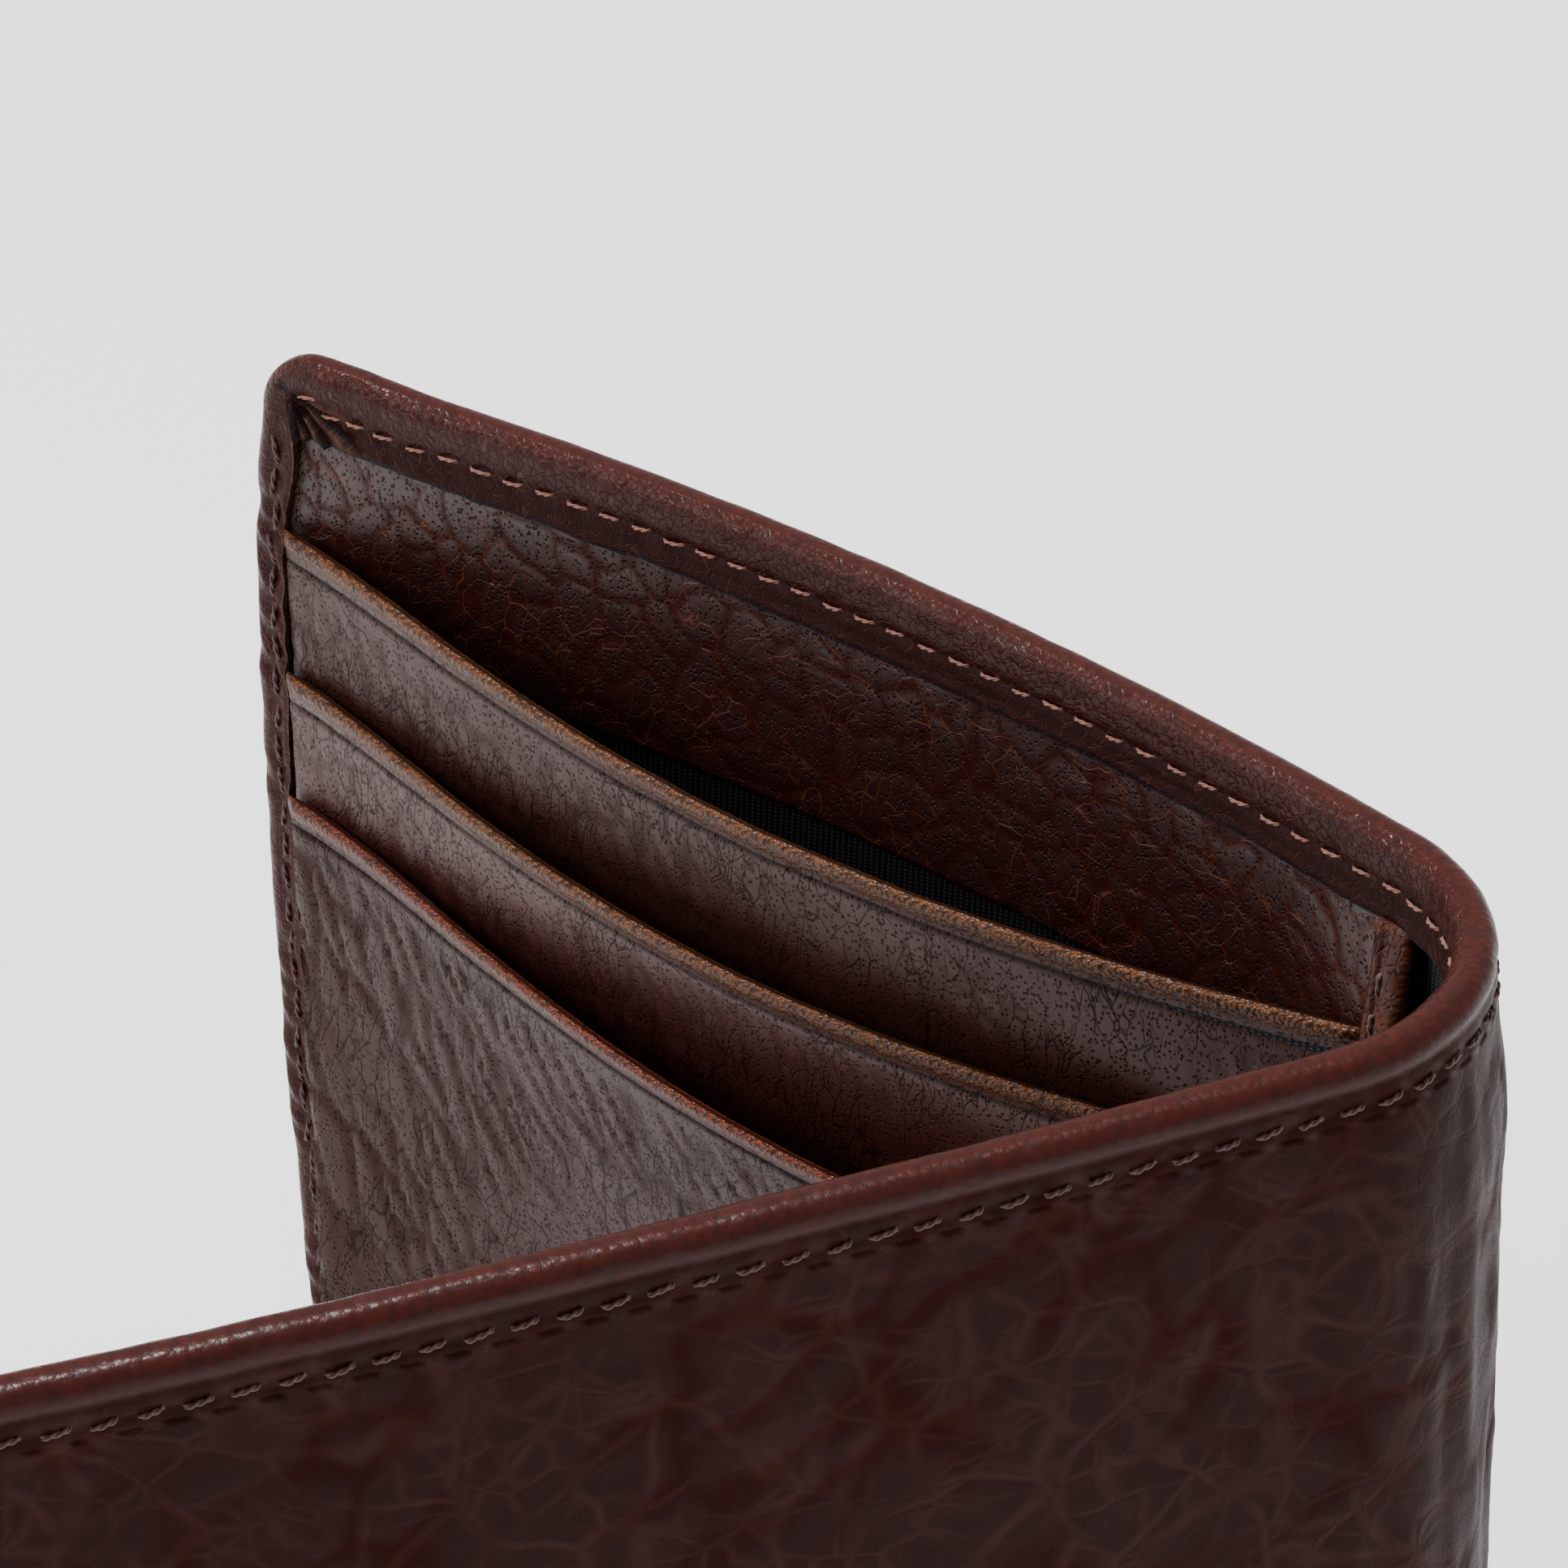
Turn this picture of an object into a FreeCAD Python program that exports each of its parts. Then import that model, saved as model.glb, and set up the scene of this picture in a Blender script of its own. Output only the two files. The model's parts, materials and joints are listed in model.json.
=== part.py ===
"""Bifold wallet, standing half open on its bottom edge.

Row frame: millimetres, Z up, origin under the middle of the bounding box.  The spine is at +X and the two
halves open towards -X: the rear half lies on the +Y side, the front half on the -Y side.
In plan the outer leather is three tangent arcs: rear half, spine, front half.  Each ply of a half is an arc
concentric with the leather, and its depth is measured inwards from the leather's outer face.
"""
import FreeCAD
import Part
import math
import os

SHEET = (
    # alias, value, what it is
    ("height", 91.0, "edge to edge, standing"),
    ("half_width", 106.0, "outer face of one half, from the spine's curve to the free edge"),
    ("corner_radius", 4.5, "free corners of each half"),
    ("rear_radius", 308.0, "bow of the rear half's outer face"),
    ("front_radius", 1025.0, "bow of the front half's outer face"),
    ("spine_radius", 17.5, "outer face of the spine"),
    ("spine_half_turn", 53.0, "degrees the spine turns to each side of +X"),
    ("fold_turn", 26.5, "degrees from +X to each fold line"),
    ("fold_depth", 1.1, "fold axis, in from the outer face"),
    ("fold_gap", 1.8, "room between the plies on the two sides of a fold line"),
    ("spine_x", 33.347, "centre of the spine's curve"),
    ("spine_y", 5.595, "centre of the spine's curve"),
    ("leather", 1.1, "outer leather"),
    ("interlining", 0.2, "stiffening ply"),
    ("lining", 0.2, "twill lining"),
    ("facing", 0.6, "leather facing above the pockets"),
    ("hem", 0.6, "skived, turned-over margin"),
    ("ply_gap", 0.05, "glue line between plies"),
    ("ply_inset", 1.5, "plies stop short of the turned edges"),
    ("turn_thickness", 0.95, "leather turned over an edge"),
    ("hem_width", 6.2, "top and bottom margins"),
    ("side_hem_width", 3.6, "margin at the free edge"),
    ("facing_height", 22.5, "leather facing, down from the top"),
    ("seam_inset", 3.6, "seam, in from the edge"),
    ("side_seam_inset", 2.0, "seam at the free edge"),
    ("thread", 0.45, "sewing thread"),
    ("pocket_left", 101.7, "pocket sheets' end at the free edge, along the outer face"),
    ("pocket_right", 0.3, "pocket sheets' end at the spine, along the outer face"),
    ("pocket_foot", 6.4, "lower edge of the pocket sheets"),
    ("pocket_leather", 0.6, "card pocket sheet"),
    ("pocket_fabric", 0.3, "backing of the card pockets"),
    ("pocket_pitch", 0.66, "one pocket sheet to the next at the ends"),
    ("pocket_stand", 0.45, "front of the backing, in from the hem's face"),
    ("edge_width", 3.0, "turned strip that binds the pockets' inner edge"),
    ("edge_thickness", 2.3, "the same strip, through the pockets"),
    ("edge_top", 84.6, "top of the strip"),
    ("backing_top", 75.5, "top of the backing"),
    ("slot_1_top", 77.3, "mouth of the rearmost card slot"),
    ("slot_2_top", 65.5, "mouth of the middle card slot"),
    ("slot_3_top", 55.4, "mouth of the nearest card slot"),
    ("rear_backing_rise", 7.4, "how far the rear backing bulges at its top"),
    ("rear_slot_1_rise", 7.9, "bulge at the slot's mouth"),
    ("rear_slot_2_rise", 8.6, "bulge at the slot's mouth"),
    ("rear_slot_3_rise", 10.0, "bulge at the slot's mouth"),
    ("front_backing_rise", -0.3, "the front pockets lie nearly flat"),
    ("front_slot_1_rise", -0.2, "bulge at the slot's mouth"),
    ("front_slot_2_rise", 0.1, "bulge at the slot's mouth"),
    ("front_slot_3_rise", 0.3, "bulge at the slot's mouth"),
)

doc = FreeCAD.newDocument("BifoldWallet")
sheet = doc.addObject("Spreadsheet::Sheet", "Values")
for row, (alias, value, meaning) in enumerate(SHEET, start=1):
    sheet.set("A%d" % row, alias)
    sheet.set("B%d" % row, str(value))
    sheet.set("C%d" % row, meaning)
    sheet.setAlias("B%d" % row, alias)
doc.recompute()


class Size:
    """A number together with the spreadsheet expression that gives it."""

    def __init__(self, value, text):
        self.value = value
        self.text = text

    def joined(self, other, sign, value):
        return Size(value, "(%s %s %s)" % (self.text, sign, other.text))

    def __add__(self, other):
        other = size(other)
        return self.joined(other, "+", self.value + other.value)

    def __sub__(self, other):
        other = size(other)
        return self.joined(other, "-", self.value - other.value)

    def __mul__(self, other):
        other = size(other)
        return self.joined(other, "*", self.value * other.value)

    def __truediv__(self, other):
        other = size(other)
        return self.joined(other, "/", self.value / other.value)


def size(number):
    return number if isinstance(number, Size) else Size(float(number), "(%s)" % float(number))


def cell(alias):
    return Size(float(sheet.get(alias)), "Values.%s" % alias)


def in_degrees(length, radius):
    return length / radius * math.degrees(1.0)


class Half:
    """One half of the wallet; hand is +1 for the rear half and -1 for the front half."""

    def __init__(self, name, hand):
        self.name = name
        self.hand = hand
        self.radius = cell(name + "_radius")
        self.centre_y = cell("spine_radius") - self.radius
        normal = hand * cell("spine_half_turn").value
        spine = FreeCAD.Vector(cell("spine_x").value, cell("spine_y").value, 0)
        self.placement = FreeCAD.Placement(spine, FreeCAD.Rotation(FreeCAD.Vector(0, 0, 1), normal - 90))
        self.pocket_placement, self.pocket_chord = self.pocket_frame()

    def face_point(self, along):
        """Point on the hem's face, this far along the outer face from the spine's curve."""
        angle = math.radians(90) + self.hand * along / self.radius.value
        reach = self.radius.value - hem_face.value
        local = FreeCAD.Vector(reach * math.cos(angle), self.centre_y.value + reach * math.sin(angle), 0)
        return self.placement.multVec(local)

    def pocket_frame(self):
        """Frame on the pockets' chord (X along it, Y into the wallet), and the chord's length."""
        free_end = self.face_point(cell("pocket_left").value)
        spine_end = self.face_point(cell("pocket_right").value)
        along = (free_end - spine_end) * self.hand
        turn = math.degrees(math.atan2(along.y, along.x))
        rotation = FreeCAD.Rotation(FreeCAD.Vector(0, 0, 1), turn)
        span = in_degrees(cell("pocket_left") - cell("pocket_right"), self.radius)
        chord = (self.radius - hem_face) * 2 * Size(
            math.sin(math.radians(span.value / 2)), "sin(%s / 2)" % span.text)
        return FreeCAD.Placement((free_end + spine_end) * 0.5, rotation), chord


def origin_plane(body, role):
    return next(plane for plane in body.Origin.OriginFeatures if plane.Role == role)


def new_body(label, placement):
    body = doc.addObject("PartDesign::Body", label)
    body.Label = label
    body.Placement = placement
    return body


def level_sketch(body, name, level):
    """A sketch on the body's XY plane, raised to this level."""
    sketch = body.newObject("Sketcher::SketchObject", name)
    sketch.AttachmentSupport = [(origin_plane(body, "XY_Plane"), "")]
    sketch.MapMode = "FlatFace"
    sketch.setExpression("AttachmentOffset.Base.z", level.text)
    return sketch


def bind(sketch, name, constraint, amount):
    index = sketch.addConstraint(constraint)
    sketch.renameConstraint(index, name)
    sketch.setExpression("Constraints.%s" % name, amount.text)


def outline(sketch, centre_y, outer, inner, first, last):
    """Two concentric arcs and the two lines that join their ends; angles in degrees, first < last."""
    centre = FreeCAD.Vector(0, centre_y, 0)
    up = FreeCAD.Vector(0, 0, 1)

    def point(radius, angle):
        return centre + FreeCAD.Vector(radius * math.cos(angle), radius * math.sin(angle), 0)

    ends = [[math.radians(angle) for angle in pair] for pair in (first, last)]
    arcs = []
    for radius, start, stop in ((outer, ends[0][0], ends[1][0]), (inner, ends[0][1], ends[1][1])):
        arcs.append(sketch.addGeometry(Part.ArcOfCircle(Part.Circle(centre, up, radius), start, stop)))
    lines = []
    for corner, end in ((1, ends[0]), (2, ends[1])):
        line = Part.LineSegment(point(inner, end[1]), point(outer, end[0]))
        lines.append(sketch.addGeometry(line))
        sketch.addConstraint(Sketcher.Constraint("Coincident", lines[-1], 1, arcs[1], corner))
        sketch.addConstraint(Sketcher.Constraint("Coincident", lines[-1], 2, arcs[0], corner))
    sketch.addConstraint(Sketcher.Constraint("Coincident", arcs[0], 3, arcs[1], 3))
    sketch.addConstraint(Sketcher.Constraint("PointOnObject", arcs[0], 3, -2))
    return arcs, lines


def ring_pad(body, name, centre_y, outer, inner, first, last, low, high):
    """Pad a sector of a ring from low to high; first and last are its end angles in degrees."""
    if first.value > last.value:
        first, last = last, first
    sketch = level_sketch(body, name + "Sketch", low)
    arcs, lines = outline(sketch, centre_y.value, outer.value, inner.value,
                          (first.value, first.value), (last.value, last.value))
    if abs(centre_y.value) < 1e-9:
        sketch.addConstraint(Sketcher.Constraint("Coincident", arcs[0], 3, -1, 1))
        sketch.delConstraint(5)
    else:
        bind(sketch, "drop", Sketcher.Constraint("DistanceY", arcs[0], 3, -1, 1, -centre_y.value),
             size(0) - centre_y)
    bind(sketch, "outer", Sketcher.Constraint("Radius", arcs[0], outer.value), outer)
    bind(sketch, "inner", Sketcher.Constraint("Radius", arcs[1], inner.value), inner)
    for line, word, angle in ((lines[0], "first", first), (lines[1], "last", last)):
        sketch.addConstraint(Sketcher.Constraint("PointOnObject", arcs[0], 3, line))
        bind(sketch, word, Sketcher.Constraint("Angle", line, math.radians(angle.value)), angle)
    pad = body.newObject("PartDesign::Pad", name)
    pad.Profile = sketch
    pad.setExpression("Length", (high - low).text)
    sketch.Visibility = False
    doc.recompute()
    return pad


def half_ring(body, half, name, shallow, deep, near, far, low, high):
    """A ply of one half between two depths and two places along the half."""
    first = size(90) + in_degrees(near, half.radius) * half.hand
    last = size(90) + in_degrees(far, half.radius) * half.hand
    return ring_pad(body, name, half.centre_y, half.radius - shallow, half.radius - deep,
                    first, last, low, high)


def spine_ring(body, hand, name, shallow, deep, low, high):
    """The ply's run round the spine's curve, from a half to its fold line."""
    radius = cell("spine_radius")
    last = size(90) - (cell("spine_half_turn") - cell("fold_turn") - fold_margin) * hand
    return ring_pad(body, name, size(0), radius - shallow, radius - deep, size(90), last, low, high)


def run(half, label, shallow, deep, far, low, high):
    """A ply that runs from its fold line, round the curve and along the half to far."""
    body = new_body(label, half.placement)
    half_ring(body, half, label + "Panel", shallow, deep, size(0), far, low, high)
    spine_ring(body, half.hand, label + "Curve", shallow, deep, low, high)
    return body


def add_run(body, half, word, shallow, deep, far, low, high):
    half_ring(body, half, word + "Panel", shallow, deep, size(0), far, low, high)
    spine_ring(body, half.hand, word + "Curve", shallow, deep, low, high)


def round_corners(body, half):
    """Round the two free corners of the outer leather."""
    base = body.Tip
    angle = math.radians(90) + half.hand * cell("half_width").value / half.radius.value
    levels = (0.0, cell("height").value)
    corners = []
    for number, edge in enumerate(base.Shape.Edges, start=1):
        ends = [vertex.Point for vertex in edge.Vertexes]
        if len(ends) != 2 or abs(ends[0].z - ends[1].z) > 1e-6:
            continue
        bearings = [math.atan2(end.y - half.centre_y.value, end.x) for end in ends]
        at_end = all(abs(bearing - angle) < 1e-6 for bearing in bearings)
        if at_end and min(abs(ends[0].z - level) for level in levels) < 1e-6:
            corners.append("Edge%d" % number)
    fillet = body.newObject("PartDesign::Fillet", body.Name + "Corners")
    fillet.Base = (base, corners)
    fillet.setExpression("Radius", cell("corner_radius").text)
    doc.recompute()


def sheet_sketch(body, name, chord, face, thickness, rise, level):
    """Plan of a pocket sheet: its front face is an arc through both ends that rises by this much."""
    sketch = level_sketch(body, name, level)
    way = 1 if rise.value > 0 else -1
    bow = rise * way
    radius = (chord * chord / 4 + bow * bow) / (bow * 2)
    centre_y = face + rise - radius * way
    if way > 0:
        outer, inner = radius, radius - thickness
    else:
        outer, inner = radius + thickness, radius
    middle = 90 if way > 0 else 270
    half_angles = [math.degrees(math.asin(chord.value / 2 / r.value)) for r in (outer, inner)]
    first = [middle - angle for angle in half_angles]
    last = [middle + angle for angle in half_angles]
    arcs, lines = outline(sketch, centre_y.value, outer.value, inner.value, first, last)
    for line in lines:
        sketch.addConstraint(Sketcher.Constraint("Vertical", line))
    if centre_y.value < 0:
        bind(sketch, "drop", Sketcher.Constraint("DistanceY", arcs[0], 3, -1, 1, -centre_y.value),
             size(0) - centre_y)
    else:
        bind(sketch, "lift", Sketcher.Constraint("DistanceY", -1, 1, arcs[0], 3, centre_y.value), centre_y)
    bind(sketch, "outer", Sketcher.Constraint("Radius", arcs[0], outer.value), outer)
    bind(sketch, "inner", Sketcher.Constraint("Radius", arcs[1], inner.value), inner)
    right, left = (1, 2) if way > 0 else (2, 1)
    bind(sketch, "right", Sketcher.Constraint("DistanceX", -1, 1, arcs[0], right, chord.value / 2), chord / 2)
    bind(sketch, "left", Sketcher.Constraint("DistanceX", arcs[0], left, -1, 1, chord.value / 2), chord / 2)
    sketch.Visibility = False
    return sketch


def pocket_sheet(half, label, face, thickness, rise, top):
    """A pocket sheet that follows the half at its foot and bulges at its mouth."""
    body = new_body(label, half.pocket_placement)
    chord = half.pocket_chord
    follow = size(0) - chord * chord / (half.radius - hem_face) / 8
    foot = sheet_sketch(body, label + "Foot", chord, face, thickness, follow, cell("pocket_foot"))
    mouth = sheet_sketch(body, label + "Mouth", chord, face, thickness, rise, top)
    doc.recompute()
    loft = body.newObject("PartDesign::AdditiveLoft", label + "Loft")
    loft.Profile = foot
    loft.Sections = [mouth]
    loft.Ruled = True
    doc.recompute()
    return body


import Sketcher

gap = cell("ply_gap")
height = cell("height")
leather = cell("leather")
interlining = (leather + gap, leather + gap + cell("interlining"))
lining = (interlining[1] + gap, interlining[1] + gap + cell("lining"))
facing = (lining[1] + gap, lining[1] + gap + cell("facing"))
hem = (facing[1] + gap, facing[1] + gap + cell("hem"))
hem_face = hem[1]
thread = (hem_face + gap, hem_face + gap + cell("thread"))
fold_radius = cell("spine_radius") - cell("fold_depth")
fold_margin = in_degrees(cell("fold_gap") / 2, fold_radius)
ply_low = cell("ply_inset")
ply_high = height - cell("ply_inset")
half_width = cell("half_width")
turn = cell("turn_thickness")
hem_end = half_width - cell("corner_radius") - 0.1
half_thread = cell("thread") / 2

halves = (Half("rear", 1), Half("front", -1))
for half in halves:
    name = half.name
    cover = run(half, name + "_cover", size(0), leather, half_width, size(0), height)
    round_corners(cover, half)
    run(half, name + "_interlining", *interlining, half_width - cell("ply_inset"), ply_low, ply_high)
    run(half, name + "_lining", *lining, half_width - cell("ply_inset"), ply_low, ply_high)
    body = new_body(name + "_facing", half.placement)
    half_ring(body, half, name + "_facingPanel", *facing, size(0), half_width - cell("ply_inset"),
              height - cell("facing_height"), ply_high)

    # margins of the outer leather, turned over the top, bottom and free edges
    for edge, band, fold in (("top", (height - cell("hem_width"), height), (height - turn, height)),
                             ("bottom", (size(0), cell("hem_width")), (size(0), turn))):
        label = "%s_%s_hem" % (name, edge)
        body = run(half, label, *hem, hem_end, *band)
        add_run(body, half, label + "Turn", leather + gap, hem[0], hem_end, *fold)
    body = new_body(name + "_side_hem", half.placement)
    side_low = cell("corner_radius") + 0.1
    side_high = height - side_low
    half_ring(body, half, name + "_side_hemBand", *hem, half_width - cell("side_hem_width"), half_width,
              side_low, side_high)
    half_ring(body, half, name + "_side_hemTurn", leather + gap, hem[0], half_width - turn, half_width,
              side_low, side_high)

    # seams
    for edge, level in (("top", height - cell("seam_inset")), ("bottom", cell("seam_inset"))):
        run(half, "%s_%s_seam" % (name, edge), *thread, hem_end, level - half_thread, level + half_thread)
    body = new_body(name + "_side_seam", half.placement)
    middle = half_width - cell("side_seam_inset")
    half_ring(body, half, name + "_side_seamRun", *thread, middle - half_thread, middle + half_thread,
              cell("hem_width") + 1, height - cell("hem_width") - 1)

    # card pockets
    face = cell("pocket_stand")
    pocket_sheet(half, name + "_pocket_backing", face, cell("pocket_fabric"),
                 cell(name + "_backing_rise"), cell("backing_top"))
    face = face + gap + cell("pocket_leather")
    for number in (1, 2, 3):
        pocket_sheet(half, "%s_card_slot_%d" % (name, number), face, cell("pocket_leather"),
                     cell("%s_slot_%d_rise" % (name, number)), cell("slot_%d_top" % number))
        face = face + cell("pocket_pitch")

    # turned strip that binds the pockets' inner edge, with its seam
    strip = doc.addObject("Part::Box", name + "_edge_strip")
    strip.Label = name + "_edge_strip"
    strip.setExpression("Length", cell("edge_width").text)
    strip.setExpression("Width", cell("edge_thickness").text)
    strip.setExpression("Height", (cell("edge_top") - cell("pocket_foot")).text)
    reach = half.pocket_chord.value / 2 + 0.15
    width = cell("edge_width").value
    back = cell("pocket_stand").value - cell("pocket_fabric").value
    start = -reach - width if half.hand > 0 else reach
    corner = FreeCAD.Vector(start, back, cell("pocket_foot").value)
    rotation = half.pocket_placement.Rotation
    strip.Placement = FreeCAD.Placement(half.pocket_placement.multVec(corner), rotation)
    seam = doc.addObject("Part::Cylinder", name + "_edge_seam")
    seam.Label = name + "_edge_seam"
    seam.setExpression("Radius", half_thread.text)
    seam.setExpression("Height", (cell("edge_top") - cell("pocket_foot") - 2).text)
    front = back + cell("edge_thickness").value + gap.value + half_thread.value
    foot = FreeCAD.Vector(start + width / 2, front, cell("pocket_foot").value + 1)
    seam.Placement = FreeCAD.Placement(half.pocket_placement.multVec(foot), rotation)

# the spine, between the two fold lines
spine_placement = FreeCAD.Placement(FreeCAD.Vector(cell("spine_x").value, cell("spine_y").value, 0),
                                    FreeCAD.Rotation(FreeCAD.Vector(0, 0, 1), -90))
spine_radius = cell("spine_radius")
spine_turn = cell("fold_turn") - fold_margin


def spine_piece(label, rings):
    body = new_body(label, spine_placement)
    for number, (depths, levels) in enumerate(rings, start=1):
        ring_pad(body, "%sRing%d" % (label, number), size(0), spine_radius - depths[0],
                 spine_radius - depths[1], size(90) - spine_turn, size(90) + spine_turn, *levels)


turned = (leather + gap, hem[0])
spine_piece("spine_cover", [((size(0), leather), (size(0), height))])
spine_piece("spine_interlining", [(interlining, (ply_low, ply_high))])
spine_piece("spine_lining", [(lining, (ply_low, ply_high))])
spine_piece("spine_top_hem", [(hem, (height - cell("hem_width"), height)), (turned, (height - turn, height))])
spine_piece("spine_bottom_hem", [(hem, (size(0), cell("hem_width"))), (turned, (size(0), turn))])
for edge, level in (("top", height - cell("seam_inset")), ("bottom", cell("seam_inset"))):
    spine_piece("spine_%s_seam" % edge, [(thread, (level - half_thread, level + half_thread))])

doc.recompute()

pieces = [item for item in doc.Objects
          if item.TypeId in ("PartDesign::Body", "Part::Box", "Part::Cylinder")]
for item in doc.Objects:
    if any(word in item.State for word in ("Invalid", "Error")):
        raise RuntimeError("%s is %s" % (item.Name, item.State))
for item in pieces:
    if item.Shape.isNull() or not item.Shape.isValid() or item.Shape.Volume <= 0:
        raise RuntimeError("%s has a bad shape" % item.Label)

os.makedirs("parts", exist_ok=True)
for item in pieces:
    item.Shape.exportStep("parts/%s.step" % item.Label)

box = FreeCAD.BoundBox()
for item in pieces:
    box.add(item.Shape.BoundBox)
print("pieces %d, box %s" % (len(pieces), box))
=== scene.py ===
"""Bifold wallet: leather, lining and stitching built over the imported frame.

Lengths are in millimetres until place() and pocket() turn them into metres.  A point of a half is given by u,
the distance along the outer face from where the spine's curve ends (negative on the curve), d, the depth in
from the outer face, and z, the height.
"""
import bpy
import bmesh
import json
import math
import numpy as np
from mathutils import Matrix, Vector


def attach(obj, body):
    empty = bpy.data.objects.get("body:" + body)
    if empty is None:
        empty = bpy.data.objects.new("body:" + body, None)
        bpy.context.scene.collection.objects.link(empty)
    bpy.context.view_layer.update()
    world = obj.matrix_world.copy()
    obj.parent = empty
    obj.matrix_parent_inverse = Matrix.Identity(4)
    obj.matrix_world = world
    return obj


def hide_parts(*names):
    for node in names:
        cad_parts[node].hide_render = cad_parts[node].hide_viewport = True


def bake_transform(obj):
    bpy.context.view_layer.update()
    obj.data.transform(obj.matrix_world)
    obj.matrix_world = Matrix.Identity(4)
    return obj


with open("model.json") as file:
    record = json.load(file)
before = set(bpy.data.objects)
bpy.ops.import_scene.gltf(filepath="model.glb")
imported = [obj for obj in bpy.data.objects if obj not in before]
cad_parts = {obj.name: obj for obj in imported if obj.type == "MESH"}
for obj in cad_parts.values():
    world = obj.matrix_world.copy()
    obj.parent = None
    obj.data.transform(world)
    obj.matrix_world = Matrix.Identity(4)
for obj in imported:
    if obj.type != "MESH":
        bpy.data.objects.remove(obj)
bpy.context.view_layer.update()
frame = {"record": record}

# ---------------------------------------------------------------- camera
camera = bpy.data.cameras.new("camera")
camera.lens = 171.2
camera.sensor_width = 36
camera.shift_x = -0.1128
camera.shift_y = -0.0166
camera.clip_start = 0.01
view = bpy.data.objects.new("camera", camera)
bpy.context.scene.collection.objects.link(view)
view.location = (0.1008, -0.3859, 0.3546)
bearing = Matrix.Rotation(math.radians(12.2), 3, "Z")
tilt = Matrix.Rotation(math.radians(90 - 32.3), 3, "X")
roll = Matrix.Rotation(math.radians(-0.33), 3, "Z")
view.rotation_euler = (bearing @ tilt @ roll).to_euler()
bpy.context.scene.camera = view

# ---------------------------------------------------------------- sizes, millimetres and degrees
MM = 0.001
HEIGHT = 91.0
HALF_WIDTH = 106.0
SPINE_RADIUS = 17.5
SPINE_HALF_TURN = 53.0
FOLD_TURN = 26.5
FOLD_DEPTH = 1.1
BOW_RADIUS = {"rear": 308.0, "front": 1025.0}
HAND = {"rear": 1, "front": -1}
LEATHER = 1.1
HEM_BACK = 2.3
HEM_FACE = 2.9
CORNER = 4.5
HEM_WIDTH = 6.2
SIDE_HEM_WIDTH = 2.9
SIDE_HEM_SPREAD = 0.8
CORNER_RISE = 0.65
CORNER_DROP = 2.1
PLY_INSET = 1.6
SEAM_INSET = 3.6
SIDE_SEAM_INSET = 1.9
SEAM_TURN = 2.4
ROLL_END = 1.75
STITCH_PITCH = 2.9
FACING_FACE = 2.25
FACING_FOOT = 68.5
LINING_FACE = 1.6
PANEL_EDGE = -2.0
POCKET_LEFT = 101.7
POCKET_RIGHT = 0.3
POCKET_FOOT = 6.4
SPINE_ARC = math.radians(SPINE_HALF_TURN) * SPINE_RADIUS

folds = {joint["name"]: joint for joint in frame["record"]["behaviour"]["joints"]}
fold_point = {"rear": folds["rear_fold"]["pos_m"], "front": folds["front_fold"]["pos_m"]}
spine_x = fold_point["rear"][0] / MM - (SPINE_RADIUS - FOLD_DEPTH) * math.cos(math.radians(FOLD_TURN))
spine_y = (fold_point["rear"][1] + fold_point["front"][1]) / 2 / MM


def smooth(low, high, x):
    t = np.clip((np.asarray(x, float) - low) / (high - low), 0, 1)
    return t * t * (3 - 2 * t)


def bell(x, centre, width):
    return np.exp(-((np.asarray(x, float) - centre) / width) ** 2)


def lattice(i, j, seed):
    """A repeatable value from 0 to 1 for each lattice point."""
    value = np.sin(i * 127.1 + j * 311.7 + seed * 74.7) * 43758.5453
    return value - np.floor(value)


def wander(x, y, cell, seed):
    """Smooth noise from -1 to 1 whose features are about cell millimetres across."""
    x, y = np.broadcast_arrays(np.asarray(x, float) / cell, np.asarray(y, float) / cell)
    i, j = np.floor(x), np.floor(y)
    s, t = x - i, y - j
    s, t = s * s * (3 - 2 * s), t * t * (3 - 2 * t)
    low = lattice(i, j, seed) * (1 - s) + lattice(i + 1, j, seed) * s
    high = lattice(i, j + 1, seed) * (1 - s) + lattice(i + 1, j + 1, seed) * s
    return (low * (1 - t) + high * t) * 2 - 1


def pebbles(x, y, size, stretch=1.0, turn=0.0, seed=0.0, width=0.24):
    """The leather's large pebbles: 1 on the creases between them and 0 on their tops."""
    x, y = np.broadcast_arrays(np.asarray(x, float), np.asarray(y, float))
    c, s = math.cos(math.radians(turn)), math.sin(math.radians(turn))
    a = (x * c + y * s) / size / stretch + 0.30 * wander(x, y, size * 0.8, seed + 1)
    b = (y * c - x * s) / size + 0.30 * wander(x, y, size * 0.8, seed + 2)
    i, j = np.floor(a), np.floor(b)
    nearest, second = np.full(a.shape, 9.0), np.full(a.shape, 9.0)
    for di in (-1, 0, 1):
        for dj in (-1, 0, 1):
            away = np.hypot(i + di + lattice(i + di, j + dj, seed) - a,
                            j + dj + lattice(i + di, j + dj, seed + 5) - b)
            second = np.minimum(second, np.maximum(nearest, away))
            nearest = np.minimum(nearest, away)
    return np.exp(-((second - nearest) / width) ** 2)


def drawn_in(z):
    """Stitching pulls the free edge in, more towards its ends and most at the top corner."""
    return 0.35 + 0.6 * ((np.asarray(z, float) - 48) / 30) ** 2 + 0.9 * smooth(76, 88, z)


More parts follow.
